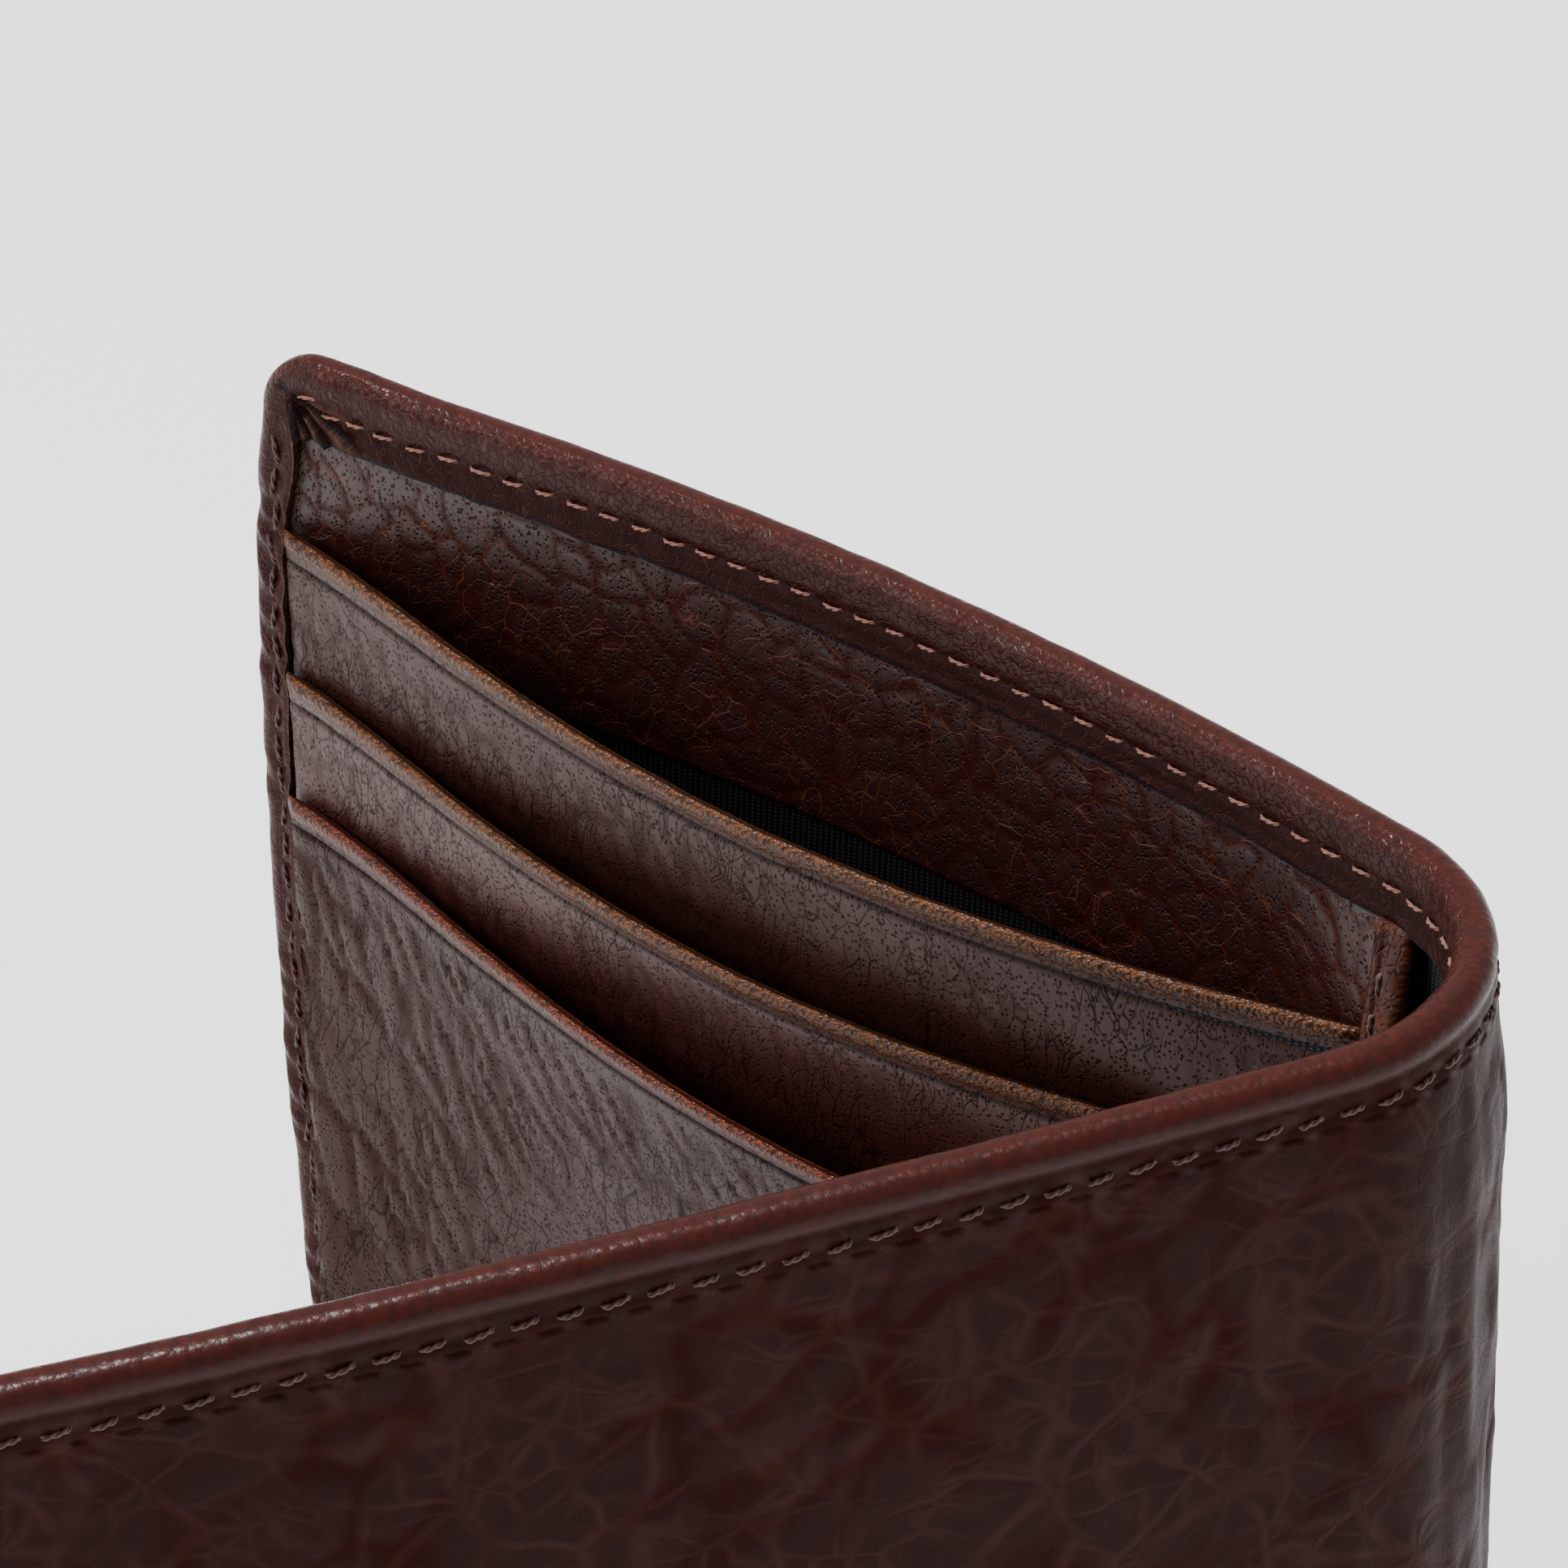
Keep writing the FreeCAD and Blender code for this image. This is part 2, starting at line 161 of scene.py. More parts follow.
class Half:
    """Places points of one half of the wallet."""

    def __init__(self, name):
        self.name = name
        self.hand = HAND[name]
        self.radius = BOW_RADIUS[name]
        self.normal = math.radians(SPINE_HALF_TURN) * self.hand
        reach = self.radius - SPINE_RADIUS
        self.centre = (spine_x - reach * math.cos(self.normal), spine_y - reach * math.sin(self.normal))
        free, inner = self.plan(POCKET_LEFT, HEM_FACE), self.plan(POCKET_RIGHT, HEM_FACE)
        self.chord = float(np.hypot(*(free - inner)))
        self.chord_middle = (free + inner) / 2
        self.chord_way = (free - inner) / self.chord * self.hand
        self.sag = self.chord ** 2 / 8 / (self.radius - HEM_FACE)

    def plan(self, u, d):
        u, d = np.broadcast_arrays(np.asarray(u, float), np.asarray(d, float))
        on_panel = u >= 0
        radius = np.where(on_panel, self.radius, SPINE_RADIUS)
        angle = self.normal + self.hand * u / radius
        x = np.where(on_panel, self.centre[0], spine_x) + (radius - d) * np.cos(angle)
        y = np.where(on_panel, self.centre[1], spine_y) + (radius - d) * np.sin(angle)
        return np.stack([x, y], -1)

    def place(self, u, d, z):
        u = u - drawn_in(z) * smooth(HALF_WIDTH - 14, HALF_WIDTH - 2, u)
        plan = self.plan(u, d)
        z = np.broadcast_to(np.asarray(z, float), plan.shape[:-1])
        return np.concatenate([plan, z[..., None]], -1) * MM

    def pocket(self, x, y, z):
        """A point in the pockets' frame: x along their chord towards the free edge, y into the wallet."""
        x, y, z = np.broadcast_arrays(*[np.asarray(value, float) for value in (x, y, z)])
        way = self.chord_way
        along = way * self.hand
        inward = np.array([-way[1], way[0]])
        plan = self.chord_middle + x[..., None] * along + y[..., None] * inward
        return np.concatenate([plan, z[..., None]], -1) * MM

    def path(self, u):
        """Distance from the middle of the spine, so that patterns run on from half to half."""
        return self.hand * (np.asarray(u, float) + SPINE_ARC)


halves = [Half("rear"), Half("front")]


# ---------------------------------------------------------------- meshes
def new_mesh(name, points, faces, pattern, marks, material, weld=False):
    """A smooth-shaded object; pattern is a UV in millimetres for each point, marks are named values."""
    mesh = bpy.data.meshes.new(name)
    mesh.from_pydata(points.reshape(-1, 3).tolist(), [], faces)
    uv = mesh.uv_layers.new(name="pattern")
    corners = np.empty(len(mesh.loops), np.int32)
    mesh.loops.foreach_get("vertex_index", corners)
    uv.data.foreach_set("uv", pattern.reshape(-1, 2)[corners].astype(np.float32).ravel())
    for word, values in marks.items():
        layer = mesh.attributes.new(word, "FLOAT", "POINT")
        layer.data.foreach_set("value", np.asarray(values, np.float32).ravel())
    shape = bmesh.new()
    shape.from_mesh(mesh)
    if weld:
        bmesh.ops.remove_doubles(shape, verts=shape.verts, dist=1e-7)
    bmesh.ops.recalc_face_normals(shape, faces=shape.faces)
    shape.to_mesh(mesh)
    shape.free()
    mesh.shade_smooth()
    mesh.materials.append(material)
    obj = bpy.data.objects.new(name, mesh)
    bpy.context.scene.collection.objects.link(obj)
    return obj


def grid_faces(rows, columns, start=0, ring=False):
    """Quads between neighbouring rows; ring joins the last column to the first."""
    last = columns if ring else columns - 1
    faces = []
    for i in range(rows - 1):
        for j in range(last):
            a, b = i * columns + j, i * columns + (j + 1) % columns
            faces.append((start + a, start + b, start + b + columns, start + a + columns))
    return faces


def swept(name, points, pattern, marks, material):
    """A closed section (columns) swept along rows, with both ends capped."""
    rows, columns = points.shape[:2]
    faces = grid_faces(rows, columns, ring=True)
    faces.append(tuple(range(columns)))
    faces.append(tuple(range((rows - 1) * columns, rows * columns))[::-1])
    return new_mesh(name, points, faces, pattern, marks, material)


def run_length(x, y):
    return np.concatenate([[0], np.cumsum(np.hypot(np.diff(x), np.diff(y)))])


# ---------------------------------------------------------------- materials
class Graph:
    """Short hand for building a material's nodes."""

    def __init__(self, name):
        self.material = bpy.data.materials.new(name)
        self.material.use_nodes = True
        self.tree = self.material.node_tree
        self.tree.nodes.clear()

    def add(self, kind, output=0, **inputs):
        node = self.tree.nodes.new("ShaderNode" + kind)
        for key, value in inputs.items():
            if hasattr(node, key) and key.islower():
                setattr(node, key, value)
                continue
            socket = node.inputs[int(key[1:])] if key[0] == "_" else node.inputs[key.replace("_", " ")]
            if isinstance(value, bpy.types.NodeSocket):
                self.tree.links.new(value, socket)
            else:
                socket.default_value = value
        return node.outputs[output] if node.outputs else None

    def math(self, operation, first, second=0.0):
        return self.add("Math", operation=operation, _0=first, _1=second)

    def ramp(self, value, low, high, out_low=0.0, out_high=1.0):
        return self.add("MapRange", interpolation_type="SMOOTHSTEP", _0=value, _1=low, _2=high, _3=out_low,
                        _4=out_high)

    def mix(self, factor, first, second):
        node = self.tree.nodes.new("ShaderNodeMix")
        node.data_type = "RGBA"
        for socket, value in zip((node.inputs[0], node.inputs[6], node.inputs[7]), (factor, first, second)):
            if isinstance(value, bpy.types.NodeSocket):
                self.tree.links.new(value, socket)
            else:
                socket.default_value = value
        return node.outputs[2]

    def pattern(self, stretch=(1, 1, 1), turn=0.0):
        """The piece's own pattern coordinates in millimetres, scaled."""
        uv = self.add("UVMap", uv_map="pattern")
        return self.add("Mapping", Vector=uv, Scale=stretch, Rotation=(0, 0, math.radians(turn)))

    def warped(self, coordinate, scale, amount):
        """The coordinate pushed about by noise, so that cells don't look drawn with a ruler."""
        noise = self.add("TexNoise", 1, Vector=coordinate, Scale=scale, Detail=1.0)
        centred = self.add("VectorMath", operation="SUBTRACT", _0=noise, _1=(0.5, 0.5, 0.5))
        push = self.add("VectorMath", operation="SCALE", _0=centred, _3=amount)
        return self.add("VectorMath", operation="ADD", _0=coordinate, _1=push)

    def laid(self, coordinate, stretch, turn):
        """The coordinate turned by some degrees and then stretched, so that the grain runs on a slant."""
        turned = self.add("Mapping", Vector=coordinate, Rotation=(0, 0, math.radians(turn)))
        return self.add("Mapping", Vector=turned, Scale=stretch)

    def patchy(self, marks, coordinate, scale, low, high):
        """Marks that fade in and out from patch to patch."""
        noise = self.add("TexNoise", Vector=coordinate, Scale=scale, Detail=2.0)
        return self.math("MULTIPLY", marks, self.ramp(noise, low, high))

    def mark(self, word):
        return self.add("Attribute", 2, attribute_name=word)

    def finish(self, **principled):
        shader = self.add("BsdfPrincipled", **principled)
        self.add("OutputMaterial", Surface=shader)
        return self.material


def rgb(red, green, blue):
    """Colour from 0-255 display values."""
    def linear(value):
        value /= 255
        return value / 12.92 if value <= 0.04045 else ((value + 0.055) / 1.055) ** 2.4
    return (linear(red), linear(green), linear(blue), 1.0)


RAW_LEATHER = (86, 58, 40)


def strands(g, flat):
    """Soft winding creases in three sizes, each fading in and out."""
    swirled = g.warped(flat, 0.16, 3.6)
    total = None
    for size, turn, width, strength in ((5.4, 42, 0.105, 1.0), (3.1, 20, 0.11, 0.7), (7.5, -38, 0.08, 0.9)):
        slanted = g.laid(swirled, (0.62, 1.0, 1.0), turn)
        cells = g.add("TexVoronoi", feature="DISTANCE_TO_EDGE", Vector=slanted, Scale=1 / size)
        line = g.ramp(cells, 0.0, width, strength, 0.0)
        fading = g.add("TexNoise", Vector=g.laid(flat, (1.0, 1.0, 1.0), turn * 3), Scale=0.11, Detail=2.0)
        one = g.math("MULTIPLY", line, g.ramp(fading, 0.36, 0.6, 0.15, 1.0))
        total = one if total is None else g.math("MAXIMUM", total, one)
    return total


def leather(name, face, line, edge, dark=(26, 12, 8), net=3.0, net_width=0.07, net_depth=0.05, net_tone=0.8,
            net_turn=0.0, crack=1.1, crack_run=(1.5, 0.55), crack_turn=0.0, crack_width=0.10,
            crack_depth=0.05, crack_tone=0.8, crack_patch=0.45, pore=0.40, pore_depth=0.05, pore_tone=0.6,
            grain=0.3, grain_depth=0.10, grain_tone=0.75, outside_grain=1.0, groove_tone=0.5,
            gloss=0.35, roll_gloss=0.3, roll_coat=0.12, roughness=0.42,
            cut_edge=(18, 16, 16), strand_tone=0.0, seed=0.0):
    """Full-grain leather.

    A net of fine lines, cracks and pores break up a soft shine.  Rolled edges have a pebbled grain, weaker on
    the outside where outside_grain is below 1, and their own colour.  The marks are wear on rolled edges,
    groove in large creases, hem on turned margins, raw on bare leather edges, and one more mark that takes
    the edge paint's colour: edge paint on painted edges, and painted shade along the hem's edge, in the
    corner's stitch hole and pleat gaps and in the crease under a pocket's roll."""
    g = Graph(name)
    flat = g.add("VectorMath", operation="ADD", _0=g.pattern(), _1=(seed * 13.7, seed * 7.3, 0.0))
    bent = g.warped(flat, 0.3, 1.6)
    roll, groove, hem = g.mark("wear"), g.mark("groove"), g.mark("hem")
    open_face = g.math("SUBTRACT", 1.0, roll)

    laid = g.laid(bent, (1.25, 0.8, 1.0), net_turn)
    lines = g.add("TexVoronoi", feature="DISTANCE_TO_EDGE", Vector=laid, Scale=1 / net)
    lines = g.ramp(lines, 0.0, net_width, 1.0, 0.0)
    lines = g.patchy(lines, flat, 0.16, 0.38, 0.58)
    upright = g.laid(bent, (*crack_run, 1.0), crack_turn)
    cracks = g.add("TexVoronoi", feature="DISTANCE_TO_EDGE", Vector=upright, Scale=1 / crack)
    cracks = g.ramp(cracks, 0.0, crack_width, 1.0, 0.0)
    cracks = g.patchy(cracks, flat, crack_patch, 0.42, 0.6)
    pores = g.add("TexVoronoi", Vector=flat, Scale=1 / pore)
    pores = g.ramp(pores, 0.16, 0.40, 1.0, 0.0)
    pores = g.patchy(pores, flat, 0.6, 0.22, 0.45)
    grains = g.add("TexVoronoi", Vector=flat, Scale=1 / grain)
    speckle = g.add("TexNoise", Vector=flat, Scale=5.0, Detail=3.0, Roughness=0.6)
    soft = g.add("TexNoise", Vector=flat, Scale=0.5, Detail=3.0)
    creased = g.add("TexVoronoi", feature="DISTANCE_TO_EDGE", Vector=flat, Scale=1 / 0.75)
    creased = g.math("MULTIPLY", g.ramp(creased, 0.0, 0.09, 1.0, 0.0), hem)

    marks = g.math("ADD", g.math("MULTIPLY", lines, net_depth), g.math("MULTIPLY", cracks, crack_depth))
    marks = g.math("ADD", marks, g.math("MULTIPLY", pores, pore_depth))
    marks = g.math("MULTIPLY", marks, g.math("SUBTRACT", 1.0, g.math("MULTIPLY", roll, 0.8)))
    marks = g.math("ADD", marks, g.math("MULTIPLY", creased, 0.05))
    grained = g.math("MULTIPLY", roll, g.ramp(hem, 0.0, 1.0, outside_grain, 1.0))
    pebble = g.math("MULTIPLY", g.math("MULTIPLY", grains, grained), -grain_depth)
    height = g.math("SUBTRACT", pebble, marks)
    height = g.math("ADD", height, g.math("MULTIPLY", speckle, 0.014))
    height = g.math("ADD", height, g.math("MULTIPLY", soft, 0.05))

    colour = g.mix(g.math("MULTIPLY", groove, groove_tone), rgb(*face), rgb(*line))
    if strand_tone > 0:
        outside = g.math("MULTIPLY", open_face, g.math("SUBTRACT", 1.0, hem))
        winding = g.math("MULTIPLY", strands(g, flat), outside)
        height = g.math("SUBTRACT", height, g.math("MULTIPLY", winding, 0.05))
        colour = g.mix(g.math("MULTIPLY", winding, strand_tone), colour, rgb(*line))
    bump = g.add("Bump", Height=height, Distance=MM, Strength=1.0)
    colour = g.mix(g.math("MULTIPLY", lines, net_tone), colour, rgb(*line))
    colour = g.mix(g.math("MULTIPLY", cracks, crack_tone), colour, rgb(*dark))
    colour = g.mix(g.math("MULTIPLY", pores, pore_tone), colour, rgb(*dark))
    rubbed = g.mix(g.ramp(grains, 0.35, 0.8, 0.0, grain_tone), rgb(*edge), rgb(*dark))
    colour = g.mix(g.math("MULTIPLY", roll, g.ramp(soft, 0.3, 0.7, 0.7, 1.0)), colour, rubbed)
    colour = g.mix(g.math("MULTIPLY", creased, 0.35), colour, rgb(*line))
    raw = g.math("MULTIPLY", g.mark("raw"), g.ramp(soft, 0.35, 0.65, 0.3, 1.0))
    colour = g.mix(raw, colour, rgb(*RAW_LEATHER))
    # edge paint on painted edges, and painted shade along the hem's edge, in the corner's stitch hole and
    # pleat gaps and in the crease under a pocket's roll
    colour = g.mix(g.mark("cut"), colour, rgb(*cut_edge))

    marked = g.math("MAXIMUM", g.math("MULTIPLY", pores, pore_tone), g.math("MULTIPLY", cracks, crack_tone))
    broken = g.math("MAXIMUM", marked, g.math("MAXIMUM", g.math("MULTIPLY", lines, net_tone), groove))
    broken = g.math("MULTIPLY", broken, open_face)
    shine = g.math("MULTIPLY", g.math("SUBTRACT", 1.0, g.math("MULTIPLY", broken, 0.85)), gloss)
    shine = g.math("ADD", g.math("MULTIPLY", shine, open_face), g.math("MULTIPLY", roll, roll_gloss))
    shine = g.math("MULTIPLY", shine, g.math("SUBTRACT", 1.0, g.math("MULTIPLY", g.mark("cut"), 0.7)))
    mottled = g.ramp(speckle, 0.3, 0.7, roughness - 0.05, roughness + 0.1)
    rough = g.math("ADD", g.math("MULTIPLY", roll, -0.08), mottled)
    return g.finish(Base_Color=colour, Roughness=rough, Normal=bump, Specular_IOR_Level=shine,
                    Coat_Weight=g.math("MULTIPLY", roll, roll_coat), Coat_Roughness=0.2, Coat_Normal=bump)


def twill():
    """Navy lining: upright ribs of small light stitches."""
    g = Graph("twill")
    ribs = g.add("TexWave", Vector=g.pattern(turn=-4), Scale=0.6, Distortion=0.5, Detail=1.0)
    floats = g.add("TexWave", Vector=g.pattern(turn=70), Scale=1.0, Distortion=0.8, Detail=1.0)
    weave = g.math("MULTIPLY", ribs, floats)
    colour = g.mix(g.ramp(weave, 0.45, 0.85), rgb(9, 9, 16), rgb(74, 72, 82))
    bump = g.add("Bump", Height=weave, Distance=0.08 * MM, Strength=1.0)
    return g.finish(Base_Color=colour, Roughness=0.75, Normal=bump, Specular_IOR_Level=0.25)


def felted():
    """Non-woven stiffening ply."""
    g = Graph("interlining")
    fibres = g.add("TexNoise", Vector=g.pattern((1, 3, 1)), Scale=2.5, Detail=6.0, Roughness=0.7)
    colour = g.mix(fibres, rgb(60, 54, 50), rgb(96, 88, 80))
    bump = g.add("Bump", Height=fibres, Distance=0.05 * MM, Strength=1.0)
    return g.finish(Base_Color=colour, Roughness=0.9, Normal=bump)


def sewing_thread(name, tone, shade):
    g = Graph(name)
    fibre = g.add("TexNoise", Vector=g.pattern((3, 0.6, 1)), Scale=6.0, Detail=3.0)
    colour = g.mix(fibre, shade, tone)
    bump = g.add("Bump", Height=fibre, Distance=0.05 * MM, Strength=0.8)
    return g.finish(Base_Color=colour, Roughness=0.62, Normal=bump, Sheen_Weight=0.2)


# the bluish edge-paint colour also paints shade in the corner's stitch hole and pleat gaps and along the
# hem's edge
outer_leather = leather("outer_leather", (33, 8, 6), (80, 48, 41), (58, 15, 8), dark=(24, 8, 5), net=2.4,
                        net_turn=30, net_width=0.04, net_depth=0.01, net_tone=0.05, crack_tone=0.05,
                        crack_width=0.06, crack_depth=0.01, pore_tone=0.05, pore_depth=0.004, grain=0.6,
                        grain_depth=0.13, grain_tone=0.45, outside_grain=0.3, groove_tone=0.12, gloss=0.06,
                        roll_gloss=0.09, roll_coat=0.19, roughness=0.44, cut_edge=(40, 44, 52),
                        strand_tone=0.2)
facing_leather = leather("facing_leather", (46, 12, 8), (122, 62, 36), (104, 54, 30), dark=(20, 6, 4),
                         net=2.1, net_width=0.03, net_turn=-25, net_depth=0.03, net_tone=0.55, crack=0.7,
                         crack_width=0.05, crack_tone=0.2, crack_depth=0.02, pore_tone=0.85, groove_tone=0.06,
                         gloss=0.52, seed=2.0)


def slot_leather(number, face, edge, gloss, crack, grain):
    """The pocket leather has close pores and long upright wrinkles."""
    # the edge paint's colour is left at its default here, where it only colours the painted shade in the
    # crease under the roll
    return leather("slot_leather_%d" % number, face, (36, 17, 12), edge, dark=(27, 10, 6), net=3.6,
                   net_width=0.018, net_turn=12, net_depth=0.03, crack=crack, crack_run=(1.9, 0.4),
                   crack_turn=-14, crack_width=0.06, crack_depth=0.04, crack_patch=0.14, pore_tone=0.85,
                   crack_tone=0.75, grain=grain, grain_depth=0.13, grain_tone=0.9, groove_tone=0.6,
                   gloss=gloss, roll_gloss=0.12, roll_coat=0.12, seed=1.0 + 2 * number)


slot_leathers = [slot_leather(1, (54, 26, 20), (88, 50, 23), 0.23, 1.8, 0.34),
                 slot_leather(2, (62, 29, 23), (86, 48, 22), 0.3, 1.8, 0.34),
                 slot_leather(3, (48, 20, 16), (92, 38, 17), 0.13, 2.6, 0.32)]
strip_leather = leather("strip_leather", (56, 21, 12), (86, 44, 26), (90, 44, 24), gloss=0.26, seed=11.0)
lining_twill = twill()
interlining = felted()
inner_thread = sewing_thread("inner_thread", rgb(142, 84, 66), rgb(84, 42, 33))
outer_thread = sewing_thread("outer_thread", rgb(80, 35, 28), rgb(48, 19, 15))


# ---------------------------------------------------------------- outer leather with its turned margins
# an edge's section has points on the outer face and round the roll, then on the hem, then behind the hem
OUTSIDE_POINTS = 37
HEM_POINTS = 27
SECTION_POINTS = 75


def border(seam, hem_width):
    """Section of an edge: inset and depth, out over the edge and back to the leather's inside.

    Also returned: its painted edge, which runs onto the hem's face as a painted shadow line, its worn crest,
    and which of its points belong to the turned hem."""
    outer_e = np.linspace(CORNER, ROLL_END, 16)
    outer_d = 0.16 * bell(outer_e, seam, 0.45) + 0.16 * bell(outer_e, 2.1, 0.35)
    s = np.sin(np.radians(np.linspace(-90, 90, 23)[1:-1]))
    c = np.sqrt(1 - s * s)
    roll_d = HEM_FACE / 2 * (1 + np.sign(s) * np.abs(s) ** np.where(s < 0, 0.95, 0.75))
    roll_e = 1.6 * (1 - c ** np.where(s < 0, 0.85, 0.62)) + 0.1 * smooth(0.2, 1, s)
    hem_e = np.linspace(ROLL_END, hem_width - 0.12, HEM_POINTS)
    hem_d = HEM_FACE - 0.17 * bell(hem_e, seam, 0.5) + 0.12 * bell(hem_e, hem_width - 0.5, 0.5)
    end = hem_width
    edge_e = np.array([end - 0.03, end, end, end - 0.05])
    edge_d = np.array([HEM_FACE + 0.02, HEM_FACE - 0.2, HEM_BACK + 0.15, HEM_BACK])
    back_e = np.array([end - 0.6, 2.4, 1.5, 1.25, 1.5, 2.4, CORNER])
    back_d = np.array([HEM_BACK, HEM_BACK, 2.2, 1.7, 1.2, LEATHER, LEATHER])
    e = np.concatenate([outer_e, roll_e, hem_e, edge_e, back_e])
    d = np.concatenate([outer_d, roll_d, hem_d, edge_d, back_d])
    # the hem's last few tenths of a millimetre take the edge paint's colour: edge paint, and painted shadow
    # of the gap along its edge
    hem_edge_paint_and_shadow = smooth(end - 0.32, end - 0.16, hem_e)
    cut = np.concatenate([np.zeros(OUTSIDE_POINTS), hem_edge_paint_and_shadow, np.ones(len(edge_e)), np.zeros(len(back_e))])
    outer_crest = 0.6 * smooth(3.0, 1.75, outer_e)
    hem_crest = 0.75 * smooth(4.6, 1.6, hem_e)
    inner_crest = np.zeros(len(edge_e) + len(back_e))
    crest = np.concatenate([outer_crest, 0.6 + 0.4 * c ** 2, hem_crest, inner_crest])
    hem_end = OUTSIDE_POINTS + HEM_POINTS + len(edge_e) + 1
    turned = (np.arange(len(e)) >= OUTSIDE_POINTS) & (np.arange(len(e)) < hem_end)
    return e, d, cut, crest, turned


def pleats(u, d, z):
    """The hem's corner is gathered into overlapping folds that fan out from the seam's last hole.

    Returns the change of depth, the hole and the gaps between the folds darkened as painted shade, and how
    far each point is on a fold's raw edge."""
    across = HALF_WIDTH - SEAM_TURN - u
    down = HEIGHT - SEAM_TURN - (HEIGHT / 2 + np.abs(z - HEIGHT / 2))
    reach = np.hypot(across, down)
    bearing = np.degrees(np.arctan2(across, down))
    inside = smooth(4, 12, bearing) * smooth(86, 78, bearing) * smooth(1.9, 2.5, d)
    tooth = ((bearing - 4) / 82 * 5) % 1.0
    height = 0.75 * (tooth - 0.35) * smooth(0.3, 1.4, reach) * inside
    # the seam's last hole is a shallow dent whose darkness is painted shade
    hole = bell(reach, 0, 0.34) * smooth(1.9, 2.5, d)
    # painted shade in the gaps where one fold overlaps the next
    pleat_gap_shade = inside * bell(np.minimum(tooth, 1 - tooth), 0, 0.09) * smooth(0.6, 1.4, reach)
    raw = inside * smooth(0.45, 0.9, tooth) * smooth(2.3, 3.3, reach)
    return height - 0.5 * hole, np.maximum(hole, 0.4 * pleat_gap_shade), raw


def cover_pebbles(half, u, z):
    """Broad slanting creases of the outer leather, stronger in some places."""
    p = half.path(u)
    creases = pebbles(p, z, 6.2, stretch=1.6, turn=42, seed=3, width=0.22)
    return creases * smooth(-0.7, 0.4, wander(p, z, 9, 16))


def relief(half, u, d, z):
    """Rises, pebbles and wrinkles of the outer leather, as a change of depth."""
    p = half.path(u)
    face = 1 - smooth(0.2, 1.0, d)
    hem = smooth(1.6, 2.7, d)
    spine = 1 - smooth(4, 26, np.abs(p))
    swell = 0.20 * wander(p, z, 17, 1) + 0.08 * wander(p, z, 6.5, 2)
    creases = spine * (0.24 * wander(p, z * 0.16, 2.6, 3) + 0.14 * wander(p, z * 0.2, 1.3, 4))
    inset = np.minimum(z, HEIGHT - z)
    away = smooth(2.5, 9, inset)
    ripple = 0.07 * wander(p, z * 0.4, 2.2, 5) + 0.05 * wander(p, z, 1.1, 6)
    side = smooth(HALF_WIDTH - 4.2, HALF_WIDTH - 2.4, u) * away
    slant = z + 1.1 * (HALF_WIDTH - u) + 1.3 * wander(0, z, 4.2, 8)
    puckers = np.sin(2 * math.pi * slant / STITCH_PITCH) * smooth(-0.6, 0.6, wander(0, z, 5, 9))
    puckers = 0.17 * side * puckers * smooth(2.3, 2.85, d)
    sunk = 0.16 * cover_pebbles(half, u, z) * away * (1 - 0.5 * spine)
    spine_swell = 0.8 * face * (1 - smooth(6, 24, np.abs(p))) * smooth(87, 76, z) * smooth(4, 14, z)
    d = d - puckers - spine_swell
    return d + face * (sunk - away * (swell + creases) - 0.04 * wander(p, z, 1.4, 7)) + hem * ripple


def edge_waver(half, u, z):
    """The top edge isn't quite straight, and it is highest over its gathered corner."""
    p = half.path(u)
    heaped = CORNER_RISE * smooth(HALF_WIDTH - 20, HALF_WIDTH - 4, u)
    waver = heaped + 0.06 * wander(p, 0, 14, 11) + 0.04 * wander(p, 0, 3.1, 12)
    return waver * smooth(60, HEIGHT, z)


def side_pinch(z):
    """The free edge is pulled in by its seam, most of all beside the mouths of the pockets."""
    pulled = bell(z, 78.2, 1.3) + bell(z, 66.0, 1.2) + 0.8 * bell(z, 55.5, 1.3)
    return -0.2 * pulled + 0.14 * wander(z, 0, 3.4, 71) - 0.10 * wander(z, 0, 9.0, 72)


